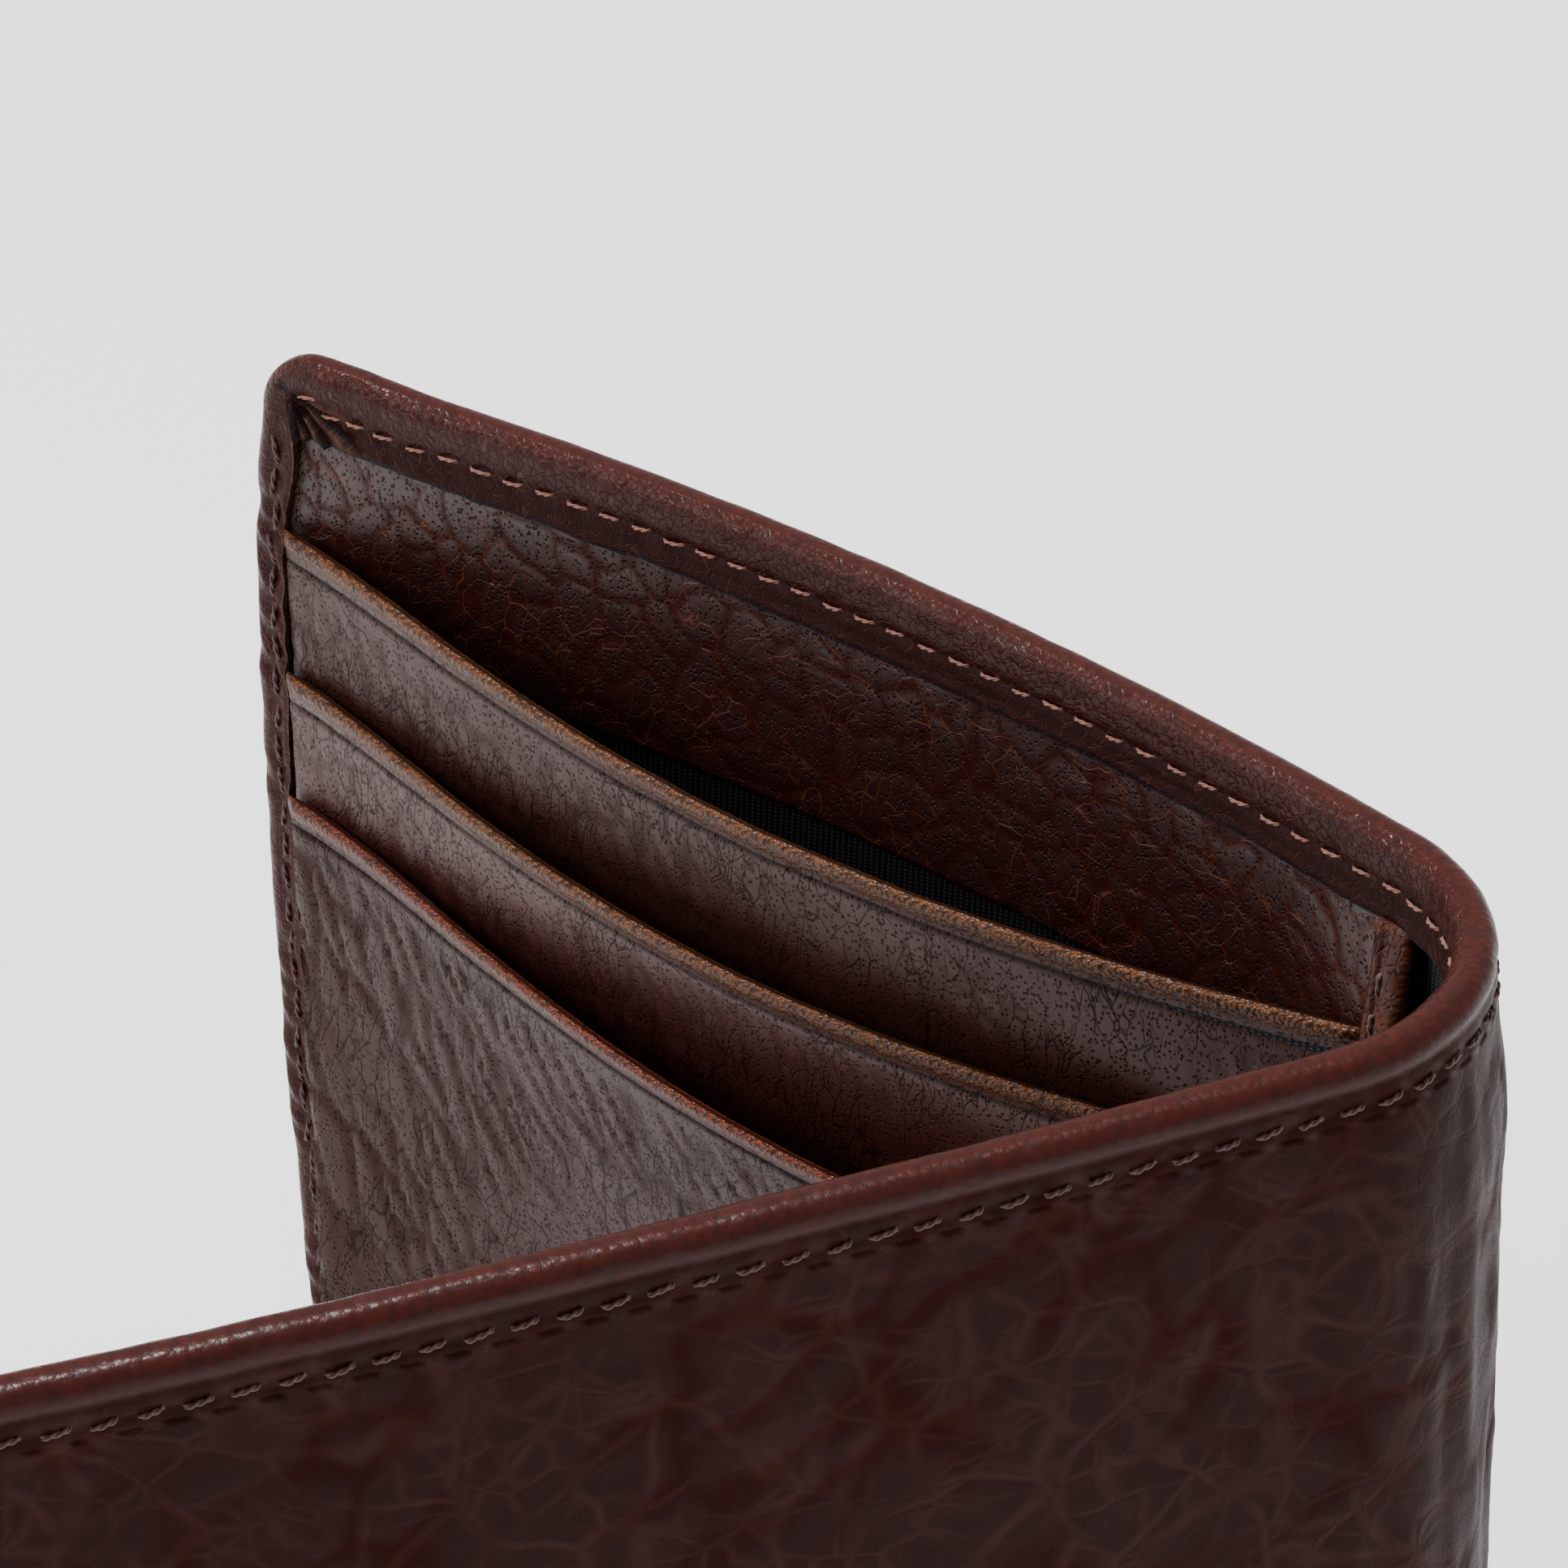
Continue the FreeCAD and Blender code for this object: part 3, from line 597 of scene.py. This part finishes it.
def shell(half):
    face_z = np.linspace(CORNER, HEIGHT - CORNER, 165)
    back_z = np.linspace(CORNER, HEIGHT - CORNER, 24)[::-1]
    fine_start = HALF_WIDTH - 14
    stations = np.concatenate([np.linspace(-SPINE_ARC, fine_start, 225)[:-1],
                               np.linspace(fine_start, HALF_WIDTH - CORNER, 55)])
    front, back = len(face_z), len(back_z)
    main = []
    for u in stations:
        p = float(half.path(u))
        pucker = 0.06 * math.cos(2 * math.pi * p / STITCH_PITCH)
        hem_width = HEM_WIDTH + 0.16 * float(wander(p, 0, 5, 21)) + 0.07 * float(wander(p, 0, 1.5, 22))
        e, d, cut, crest, turned = border(SEAM_INSET, hem_width)
        d = d + pucker * bell(e, SEAM_INSET, 0.9)
        arc = run_length(e, d)
        zs = np.concatenate([face_z, HEIGHT - e, back_z, e[::-1]])
        ds = np.concatenate([np.zeros(front), d, np.full(back, LEATHER), d[::-1]])
        vs = np.concatenate([face_z, HEIGHT - CORNER + arc, HEIGHT + 30 - back_z, CORNER - arc[::-1]])
        section_paint_and_shade = np.concatenate([np.zeros(front), cut, np.zeros(back), cut[::-1]])
        crests = np.concatenate([np.zeros(front), crest, np.zeros(back), crest[::-1]])
        us = np.full(len(zs), u)
        main.append((us, ds, zs, us, vs, section_paint_and_shade, crests))
    main = np.array(main)

    side = []
    corner_centre = (HALF_WIDTH - CORNER, HEIGHT - CORNER)
    bearings = np.radians(np.linspace(0, 90, 48))
    heights = np.concatenate([np.linspace(corner_centre[1], corner_centre[1] - 14, 70)[1:],
                              np.linspace(corner_centre[1] - 14, CORNER + 14, 120)[1:-1],
                              np.linspace(CORNER + 14, CORNER, 70)[:-1]])
    path = [(b, corner_centre[1]) for b in bearings] + [(math.pi / 2, z) for z in heights]
    path += [(math.pi / 2 + b, CORNER) for b in bearings]
    for bearing, centre_z in path:
        out_u, out_z = math.sin(bearing), math.cos(bearing)
        lengthwise = abs(out_z)
        if lengthwise > 0.9999:
            last = main[-1]
            piece = last[:, front:front + SECTION_POINTS] if out_z > 0 else last[:, -SECTION_POINTS:][:, ::-1]
            side.append(piece)
            continue
        seam = SIDE_SEAM_INSET + (SEAM_INSET - SIDE_SEAM_INSET) * float(smooth(0.5, 1.0, lengthwise))
        ragged = 0.18 * float(wander(centre_z, 3, 2.6, 31))
        side_hem = SIDE_HEM_WIDTH + SIDE_HEM_SPREAD * float(smooth(74, 83, centre_z))
        width = side_hem + (HEM_WIDTH - side_hem) * float(smooth(0.75, 1.0, lengthwise))
        e, d, cut, crest, turned = border(seam, width + ragged)
        arc = run_length(e, d)
        u = corner_centre[0] + out_u * (CORNER - e)
        z = centre_z + out_z * (CORNER - e)
        upper = centre_z > HEIGHT / 2
        past = corner_centre[1] - (centre_z if upper else HEIGHT - centre_z)
        inner_u = HALF_WIDTH - CORNER + (CORNER - side_hem) * min(1.0, out_u + past)
        inner_u = inner_u - ragged * float(smooth(0, 2, past))
        drop = CORNER_DROP * float(1 - smooth(0, 7, past))
        if past <= 0:
            drop = HEM_WIDTH - CORNER + (CORNER_DROP - HEM_WIDTH + CORNER) * out_u
        inner_z = centre_z - drop if upper else centre_z + drop
        share = np.clip((e - ROLL_END) / (e[OUTSIDE_POINTS + HEM_POINTS - 1] - ROLL_END), 0, 1)
        from_u, from_z = u[OUTSIDE_POINTS], z[OUTSIDE_POINTS]
        u = np.where(turned, from_u + (inner_u - from_u) * share, u)
        z = np.where(turned, from_z + (inner_z - from_z) * share, z)
        pinch = float(side_pinch(centre_z)) * float(smooth(0, 4, past))
        u = u + pinch * smooth(CORNER, 2.0, e)
        side.append((u, d, z, corner_centre[0] + out_u * arc, centre_z + out_z * arc, cut, crest))
    side = np.array(side)

    def finished(block):
        u, d, z, pu, pz, cut, crest = [block[:, k] for k in range(7)]
        fold, hole, raw = pleats(u, d, z)
        near_corner = smooth(HALF_WIDTH - 12, HALF_WIDTH - 9, u)
        z = z + edge_waver(half, u, z)
        deep = relief(half, u, d, z) + fold * near_corner
        groove = cover_pebbles(half, u, z) * (1 - smooth(0.2, 1.0, d))
        at_side = smooth(HALF_WIDTH - 4.6, HALF_WIDTH - 4.1, u) * (cut > 0)
        raw = np.clip(raw * near_corner + at_side * cut, 0, 1)
        # edge paint on the hem's edges, and painted shade along them and in the corner's stitch hole and
        # pleat gaps
        dark = np.maximum(cut * (1 - at_side), hole * near_corner)
        words = (dark, crest, groove, raw, smooth(1.9, 2.6, d))
        return half.place(u, deep, z), np.stack([half.path(pu), pz], -1), words

    points_a, pattern_a, words_a = finished(main)
    points_b, pattern_b, words_b = finished(side)
    faces = grid_faces(*points_a.shape[:2], ring=True)
    faces += grid_faces(*points_b.shape[:2], start=points_a.shape[0] * points_a.shape[1])
    points = np.concatenate([points_a.reshape(-1, 3), points_b.reshape(-1, 3)])
    pattern = np.concatenate([pattern_a.reshape(-1, 2), pattern_b.reshape(-1, 2)])
    marks = {word: np.concatenate([a.ravel(), b.ravel()])
             for word, a, b in zip(("cut", "wear", "groove", "raw", "hem"), words_a, words_b)}
    return new_mesh(half.name + "_shell", points, faces, pattern, marks, outer_leather, weld=True)


def blend_over_fold(obj):
    """Bakes the piece's placement into its mesh."""
    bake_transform(obj)


# ---------------------------------------------------------------- plies inside the leather
def ply(half, name, front, back, first, last, low, high, material, step=0.7, lift=None):
    """A thin sheet that follows the half between two depths."""
    us = np.linspace(first, last, int((last - first) / step) + 2)
    front_z = np.linspace(low, high, int((high - low) / step) + 2)
    back_z = np.linspace(high, low, 14)
    z = np.concatenate([front_z, back_z])[None, :]
    d = np.concatenate([np.full(len(front_z), front), np.full(len(back_z), back)])[None, :]
    u, d, z = np.broadcast_arrays(us[:, None], d, z)
    groove = np.zeros(u.shape)
    if lift is not None:
        rise, groove = lift(u, z)
        d = d + rise
    pattern = np.stack([half.path(u), z], -1)
    marks = {"wear": np.zeros(u.shape), "cut": np.zeros(u.shape), "groove": groove}
    return swept(name, half.place(u, d, z), pattern, marks, material)


def panel_lift(z):
    """How far the panel's inner edge stands off the cover: it is held only at its top and foot."""
    return np.interp(z, [FACING_FOOT, 77, 84.5, HEIGHT], [2.0, 1.9, 0.5, 0.0])


def facing(half):
    def lift(u, z):
        p = half.path(u)
        below_hem = smooth(HEIGHT - 4.5, HEIGHT - 8, z)
        groove = pebbles(p, z, 3.7, seed=9, turn=-15, width=0.12)
        rise = smooth(13, 0, u) * panel_lift(z)
        rise = rise + below_hem * (0.12 * wander(p, z, 8, 41) - 0.13 * groove)
        return rise, groove * below_hem

    return ply(half, half.name + "_inner_facing", FACING_FACE, FACING_FACE - 0.6, PANEL_EDGE,
               HALF_WIDTH - PLY_INSET, FACING_FOOT, HEIGHT - PLY_INSET, facing_leather, step=0.36, lift=lift)


# ---------------------------------------------------------------- card pockets
# each mouth: its height, where its spine end and its free end stand, how far it bulges, how pointed the bulge
# is, and how it leans to one side
MOUTHS = {"rear": ((77.3, 2.2, 0.35, 7.6, 1.31, 0.9), (65.4, 2.4, 0.95, 8.4, 1.36, 0.94),
                   (55.0, 3.2, 1.55, 10.6, 1.44, 0.79)),
          "front": ((77.1, 0.9, 0.35, 0.2, 1.2, 1.0), (65.4, 1.5, 0.95, 0.3, 1.2, 1.0),
                    (55.0, 2.1, 1.55, 0.5, 1.2, 1.0))}
BACKING = {"rear": (75.0, 2.2, -0.3, 7.0, 1.39, 0.88), "front": (75.0, 0.25, -0.3, 0.2, 1.2, 1.0)}
SHEET = 0.55
# each sheet's wrinkles: length, width as a share of the length, softness and depth
WRINKLES = ((5.4, 0.4, 0.26, 0.12), (5.4, 0.4, 0.26, 0.15), (9.5, 0.26, 0.2, 0.3))


def sheet_face(half, x, z, step, mouth):
    """Front of a pocket sheet: it follows the half at its foot and bulges at its mouth."""
    top, spine_end, free_end, bulge, power, skew = mouth
    share = np.clip((z - POCKET_FOOT) / (top - POCKET_FOOT), 0, 1.02)
    across = np.clip(x / half.chord + 0.5, 0, 1)
    leaning = across ** skew
    foot = step - half.sag * 4 * across * (1 - across)
    lip = spine_end + (free_end - spine_end) * across + bulge * (4 * leaning * (1 - leaning)) ** power
    return foot + (lip - foot) * share


def card_slot(half, number):
    mouth = MOUTHS[half.name][number - 1]
    top, step = mouth[0], mouth[2]
    below = np.array([0, .06, .18, .36, .6, .85, 1.1, 1.35, 1.6, 1.85, 2.05, 2.25, 2.4, 2.52, 2.64, 2.8, 3.05,
                      3.4])
    front = np.array([.08, .3, .46, .56, .6, .58, .5, .36, .2, .07, .02, .0, -.08, -.2, -.2, -.06, .0, .0])
    down = np.linspace(3.8, top - POCKET_FOOT, int((top - POCKET_FOOT) / 0.5))
    below = np.concatenate([below, down])
    front = np.concatenate([front, np.zeros(len(down))])
    behind_below = np.array([7.8, 7.7, 7.5, 3.4, 2.2, 1.5, 1.0, .6, .3, .1])
    behind = np.array([-.52, -.56, -.6, -.62, -.68, -.76, -.78, -.7, -.55, -.3])
    h = np.concatenate([below, [top - POCKET_FOOT], behind_below])
    a = np.concatenate([front, [-SHEET], behind])
    wear = np.concatenate([smooth(1.95, 1.25, below), [0], smooth(2.2, 1.0, behind_below)])
    # painted shade: a dark line in the crease under the roll, carried by the edge paint's mark
    roll_crease_shade = np.concatenate([bell(below, 2.58, 0.14), np.zeros(1 + len(behind))])
    x = np.linspace(-half.chord / 2, half.chord / 2, 215)[:, None]
    ends = smooth(0, 1.2, half.chord / 2 - np.abs(x))
    waver = 0.14 * wander(x, number * 9.0, 13, 51) + 0.06 * wander(x, number * 9.0, 3.3, 52)
    z = top - h[None, :] + waver * smooth(12, 0, h)[None, :]
    middle = -SHEET / 2
    y = sheet_face(half, x, z, step, mouth) + middle + (a[None, :] - middle) * (0.4 + 0.6 * ends)
    face = (smooth(2.8, 5.5, h) * (a > -0.3))[None, :]
    size, stretch, width, depth = WRINKLES[number - 1]
    groove = pebbles(x, z + number * 40, size, stretch=stretch, turn=-16, seed=60 + number, width=width)
    groove = groove * smooth(-0.5, 0.3, wander(x, z + number * 40, 11, 55))
    dents = 0.16 * wander(x, z + number * 40, 8, 53) + 0.05 * wander(x, z + number * 40, 2.6, 54)
    y = y + (dents - depth * groove) * face
    way = np.cumsum(np.hypot(np.diff(h, prepend=0), np.diff(a, prepend=0)))[None, :]
    pattern = np.stack(np.broadcast_arrays(x, -way), -1)
    marks = {"wear": np.broadcast_to(wear[None, :], z.shape),
             "cut": np.broadcast_to(roll_crease_shade[None, :], z.shape),
             "groove": 0.6 * groove * face}
    points = half.pocket(x, y, z)
    return swept("%s_slot_%d" % (half.name, number), points, pattern, marks, slot_leathers[number - 1])


def backing(half):
    mouth = BACKING[half.name]
    x = np.linspace(-half.chord / 2, half.chord / 2, 120)[:, None]
    zs = np.linspace(POCKET_FOOT, mouth[0], 80)
    z = np.concatenate([zs, zs[::-1]])[None, :]
    inset = np.concatenate([np.zeros(80), np.full(80, 0.25)])[None, :]
    y = sheet_face(half, x, z, mouth[2], mouth) - inset
    pattern = np.stack(np.broadcast_arrays(x, z), -1)
    marks = {"wear": np.zeros(y.shape), "cut": np.zeros(y.shape)}
    return swept(half.name + "_backing", half.pocket(x, y, z), pattern, marks, lining_twill)


STRIP_LEVELS = (POCKET_FOOT, 55, 65, 77, 85)
STRIP_FRONT = {"rear": (2.2, 3.6, 3.1, 2.5, 0.6), "front": (2.3, 2.5, 2.2, 1.7, 0.9)}
STRIP_DEPTH = (1.9, 2.8, 2.4, 1.6, 0.8)
STRIP_OVERLAP = 0.3
STRIP_SEAM = 1.0


def strip_front(half, z):
    return np.interp(z, STRIP_LEVELS, STRIP_FRONT[half.name])


def edge_strip(half):
    """Turned strip that binds the inner edge of the panel and its pockets."""
    across = np.array([0.0, 0.12, 0.4, 0.7, 0.85, 1.0, 1.15, 1.3, 1.7, 2.2, 2.5, 2.75, 2.92, 3.0, 2.95, 2.7,
                       1.5, 0.2])
    front = np.array([0.55, 0.85, 1.0, 0.98, 0.9, 0.86, 0.9, 0.98, 1.02, 1.0, 0.96, 0.85, 0.65, 0.4, 0.15,
                      0.02, 0.0, 0.1])
    wear = np.concatenate([np.zeros(9), [0.1, 0.4, 0.8, 1, 1, 0.9, 0.4, 0, 0]])
    z = np.linspace(POCKET_FOOT, HEIGHT - 6.0, 170)[:, None]
    depth = np.interp(z, STRIP_LEVELS, STRIP_DEPTH)
    x = -(half.chord / 2 - STRIP_OVERLAP + across[None, :]) + 0.08 * wander(z, 0, 4, 61)
    y = strip_front(half, z) - (1 - front[None, :]) * depth + 0.05 * wander(z, across[None, :], 1.6, 62)
    x, y, z = np.broadcast_arrays(x, y, z)
    pattern = np.stack([x - y, z], -1)
    marks = {"wear": np.broadcast_to(wear[None, :], x.shape), "cut": np.zeros(x.shape)}
    return swept(half.name + "_strip", half.pocket(x, y, z), pattern, marks, strip_leather)


# ---------------------------------------------------------------- stitches
def stitches(name, spots, material, length=2.2, gauge=0.2, rise=0.17):
    """Two-ply thread: each stitch is two strands twisted together that dive into the leather at both ends.

    spots is a list of (middle, along, out) vectors in metres."""
    rings, sides = 13, 6
    t = np.linspace(-1, 1, rings)[:, None, None]
    a = np.linspace(0, 2 * math.pi, sides, endpoint=False)[None, :, None]
    arch = rise * (1 - np.abs(t) ** 3) - 0.36 * np.abs(t) ** 7
    points, faces, pattern = [], [], []
    for index, (middle, along, out) in enumerate(spots):
        across = np.cross(along, out)
        size = length * (1 + 0.06 * math.sin(index * 2.1))
        bow = 0.07 * math.sin(index * 1.3) * (1 - t * t)
        for strand in (0, 1):
            start = len(points) * rings * sides
            twist = t * 4.4 + strand * math.pi + index
            centre = along * (t * size / 2) + out * (arch + np.sin(twist) * gauge * 0.46) \
                + across * (bow + np.cos(twist) * gauge * 0.46)
            ring = (across * np.cos(a) + out * np.sin(a)) * gauge * 0.6
            points.append(middle + (centre + ring) * MM)
            pattern.append(np.concatenate(np.broadcast_arrays(t * size / 2 + index * 3, a * 0.2), -1))
            faces += grid_faces(rings, sides, start=start, ring=True)
            faces.append(tuple(start + j for j in range(sides)))
            faces.append(tuple(start + (rings - 1) * sides + j for j in range(sides))[::-1])
    return new_mesh(name, np.array(points), faces, np.array(pattern), {}, material)


def level_spots(half, inset, depth, sign, first, last, slant, upper):
    """Stitches along an edge; sign is +1 on the inside face and -1 on the outer face."""
    spots = []
    for k in range(int((last - first) / STITCH_PITCH) + 1):
        u = first + k * STITCH_PITCH
        from_edge = inset - (SEAM_INSET - SEAM_TURN) * float(smooth(HALF_WIDTH - 8, HALF_WIDTH - 3, u)) \
            + 0.06 * math.sin(k * 2.3)
        z = HEIGHT - from_edge if upper else from_edge
        z += float(edge_waver(half, u, z))
        here = half.place(u, depth, z)
        ahead = half.place(u + 0.2, depth, z)
        inner = half.place(u, depth + 0.2 * sign, z)
        along = (ahead - here) / np.linalg.norm(ahead - here)
        out = (inner - here) / np.linalg.norm(inner - here)
        tilt = slant + 0.05 * math.sin(k * 1.7)
        spots.append((here, along * math.cos(tilt) + np.array([0, 0, 1.0]) * math.sin(tilt), out))
    return spots


def upright_spots(place, low, high, swing=0.06):
    spots = []
    for k in range(int((high - low) / STITCH_PITCH) + 1):
        here, out = place(low + k * STITCH_PITCH)
        tilt = swing * math.sin(k * 1.9)
        side = np.cross(out, (0, 0, 1.0))
        spots.append((here, np.array([0, 0, 1.0]) * math.cos(tilt) + side * math.sin(tilt), out))
    return spots


def seams(half):
    """The sewn edges, each with its inside and outside rows."""
    made = {}
    first = STITCH_PITCH / 2 - SPINE_ARC
    last = HALF_WIDTH - SEAM_TURN - 0.4
    for edge in ("top", "bottom"):
        upper = edge == "top"
        inside = level_spots(half, SEAM_INSET, HEM_FACE - 0.1, 1, first, last, -0.07 * half.hand, upper)
        outside = level_spots(half, SEAM_INSET, 0.13, -1, first, last - 2, 0.2 * half.hand, upper)
        made[edge] = (stitches("%s_%s_stitches" % (half.name, edge), inside, inner_thread, length=2.0,
                               gauge=0.145),
                      stitches("%s_%s_stitches_out" % (half.name, edge), outside, outer_thread, length=2.0))

    def on_side(depth, sign):
        def place(z):
            u = HALF_WIDTH - SIDE_SEAM_INSET + float(side_pinch(z))
            here, inner = half.place(u, depth, z), half.place(u, depth + 0.2 * sign, z)
            return here, (inner - here) / np.linalg.norm(inner - here)
        return place

    inside = upright_spots(on_side(HEM_FACE - 0.2, 1), 5.5, HEIGHT - 5, swing=0.2)
    outside = upright_spots(on_side(0.1, -1), 5.5, HEIGHT - 5)
    made["side"] = (stitches(half.name + "_side_stitches", inside, outer_thread, length=2.8),
                    stitches(half.name + "_side_stitches_out", outside, outer_thread, length=2.0))

    def on_strip(z):
        x = -(half.chord / 2 - STRIP_OVERLAP + STRIP_SEAM)
        y = float(strip_front(half, z))
        here, inner = half.pocket(x, y - 0.28, z), half.pocket(x, y, z)
        return here, (inner - here) / np.linalg.norm(inner - here)

    made["edge"] = (stitches(half.name + "_edge_stitches", upright_spots(on_strip, 8, 83), outer_thread,
                             length=2.2),)
    return made


# ---------------------------------------------------------------- assembly
for half in halves:
    name = half.name
    cover = shell(half)
    blend_over_fold(cover)
    spine_nodes = ["spine_cover", "spine_top_hem", "spine_bottom_hem"] if half.hand > 0 else []
    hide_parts(name + "_cover", name + "_top_hem", name + "_bottom_hem", name + "_side_hem",
                *spine_nodes)

    panel = facing(half)
    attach(panel, name)
    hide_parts(name + "_facing")

    for word, front, back, material in (("lining", LINING_FACE, 1.4, lining_twill),
                                        ("interlining", 1.35, 1.15, interlining)):
        sheet = ply(half, "%s_%s_ply" % (name, word), front, back, -SPINE_ARC, HALF_WIDTH - PLY_INSET,
                    PLY_INSET, HEIGHT - PLY_INSET, material, step=1.2)
        blend_over_fold(sheet)
        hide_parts("%s_%s" % (name, word), *(["spine_" + word] if half.hand > 0 else []))

    for number in (1, 2, 3):
        pocket = card_slot(half, number)
        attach(pocket, name)
        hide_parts("%s_card_slot_%d" % (name, number))
    back = backing(half)
    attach(back, name)
    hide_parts(name + "_pocket_backing")
    strip = edge_strip(half)
    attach(strip, name)
    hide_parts(name + "_edge_strip")

    for edge, rows in seams(half).items():
        for row in rows:
            if edge in ("top", "bottom"):
                blend_over_fold(row)
            else:
                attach(row, name)
        nodes = ["%s_%s_seam" % (name, edge)]
        if edge in ("top", "bottom") and half.hand > 0:
            nodes.append("spine_%s_seam" % edge)
        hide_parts(*nodes)

# ---------------------------------------------------------------- stage and lights
floor_graph = Graph("floor")
dust = floor_graph.add("TexNoise", Vector=floor_graph.add("TexCoord", 3), Scale=3.0, Detail=2.0)
floor_colour = floor_graph.mix(dust, (0.93, 0.93, 0.93, 1), (0.96, 0.96, 0.96, 1))
floor_material = floor_graph.finish(Base_Color=floor_colour, Roughness=0.6)
bpy.ops.mesh.primitive_plane_add(size=8, location=(0, 0, 0))
floor = bpy.context.active_object
floor.name = "floor"
floor.data.materials.append(floor_material)


def area_light(name, location, target, size, power):
    light = bpy.data.lights.new(name, "AREA")
    light.shape = "DISK"
    light.size = size
    light.energy = power
    obj = bpy.data.objects.new(name, light)
    bpy.context.scene.collection.objects.link(obj)
    obj.location = location
    obj.rotation_euler = (Vector(target) - Vector(location)).to_track_quat("-Z", "Y").to_euler()


area_light("key", (-0.14, 0.1, 1.15), (0.0, 0.02, 0.06), 0.3, 22)
area_light("fill", (-0.8, -0.25, 0.5), (0, 0.02, 0.05), 0.6, 4.5)
world = bpy.data.worlds.new("studio")
bpy.context.scene.world = world
world.use_nodes = True
world.node_tree.nodes["Background"].inputs["Color"].default_value = (1, 1, 1, 1)
world.node_tree.nodes["Background"].inputs["Strength"].default_value = 0.75
